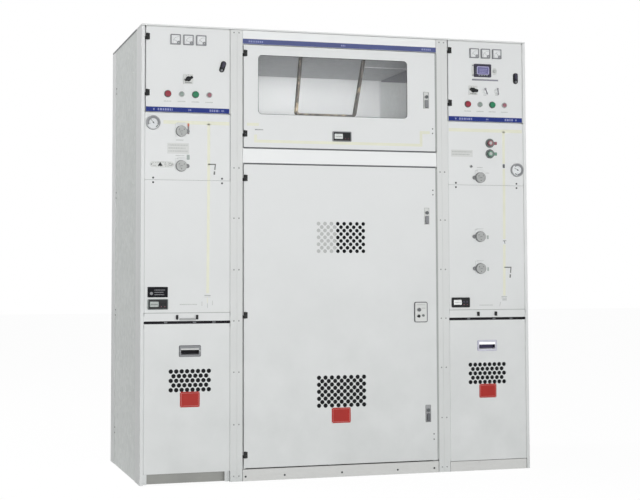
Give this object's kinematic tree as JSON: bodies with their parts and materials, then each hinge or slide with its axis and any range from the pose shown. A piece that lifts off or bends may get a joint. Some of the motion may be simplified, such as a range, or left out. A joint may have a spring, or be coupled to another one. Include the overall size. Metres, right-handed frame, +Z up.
{
  "type": "ring main unit",
  "caption": "Row of joined medium-voltage switchgear cabinets: narrow switch cabinets at both ends, a wide metering cabinet with a windowed door between them; hinged doors open.",
  "frame": {"origin": "on the floor, under the middle of the row's footprint", "axes": "+Z up, front with the doors facing -Y, +X to the right seen from the front"},
  "size_m": [2.01, 0.976, 2.2],
  "materials": {
    "paint": "light grey powder coat, satin",
    "zinc_sheet": "bare zinc-coated sheet, dull",
    "black_zinc_casting": "black coated casting",
    "black_plastic": "matt moulded",
    "meter_plastic": "black frame, white dial",
    "fitting_metal": "satin die-cast metal",
    "pull_metal": "satin chrome",
    "button_plastic": "coloured caps",
    "window_glass": "clear safety glass",
    "busbar": "flat copper bar, dark with age"
  },
  "bodies": {
    "switchgear": {"corner_posts": "paint", "inner_posts": "paint", "end_panels": "zinc_sheet", "partitions": "zinc_sheet", "roof_plates": "paint", "rear_panels": "paint", "base_channels": "zinc_sheet", "floor_plates": "zinc_sheet", "plinth_plates": "paint", "backing_strips": "paint", "middle_rails": "paint", "compartment_plates": "zinc_sheet", "left_instrument_box": "zinc_sheet", "right_instrument_box": "zinc_sheet", "mechanism_covers": "paint", "main_covers": "paint", "left_cable_cover": "paint", "right_cable_cover": "paint", "sill_strips": "paint", "sill_latches": "black_plastic", "cover_pulls": "pull_metal", "gas_gauges": "fitting_metal", "shaft_covers": "fitting_metal", "position_indicator": "fitting_metal", "switching_buttons": "button_plastic", "voltage_displays": "black_plastic", "hinge_lugs": "black_zinc_casting", "busbar_loop": "busbar"},
    "left_instrument_door": {"left_instrument_door": "paint", "left_meters": "meter_plastic", "left_door_controls": "black_plastic", "left_door_hinges": "black_zinc_casting"},
    "right_instrument_door": {"right_instrument_door": "paint", "right_meters": "meter_plastic", "protection_relay": "black_plastic", "right_door_controls": "black_plastic", "right_door_hinges": "black_zinc_casting"},
    "window_door": {"window_door": "paint", "window_glass": "window_glass", "window_door_fittings": "fitting_metal", "window_door_hinges": "black_zinc_casting"},
    "main_door": {"main_door": "paint", "main_door_locks": "fitting_metal", "main_door_interlock": "fitting_metal", "main_door_hinges": "black_zinc_casting"}
  },
  "joints": [
    {"name": "left_instrument_hinge", "type": "hinge", "parent": "switchgear", "child": "left_instrument_door", "pos_m": [-0.979, -0.477, 1.982], "axis": [0, 0, -1], "range_deg": [0, 120]},
    {"name": "right_instrument_hinge", "type": "hinge", "parent": "switchgear", "child": "right_instrument_door", "pos_m": [0.579, -0.477, 1.982], "axis": [0, 0, -1], "range_deg": [0, 120]},
    {"name": "window_door_hinge", "type": "hinge", "parent": "switchgear", "child": "window_door", "pos_m": [-0.497, -0.477, 1.868], "axis": [0, 0, -1], "range_deg": [0, 110]},
    {"name": "main_door_hinge", "type": "hinge", "parent": "switchgear", "child": "main_door", "pos_m": [-0.496, -0.477, 0.7975], "axis": [0, 0, -1], "range_deg": [0, 110]}
  ]
}
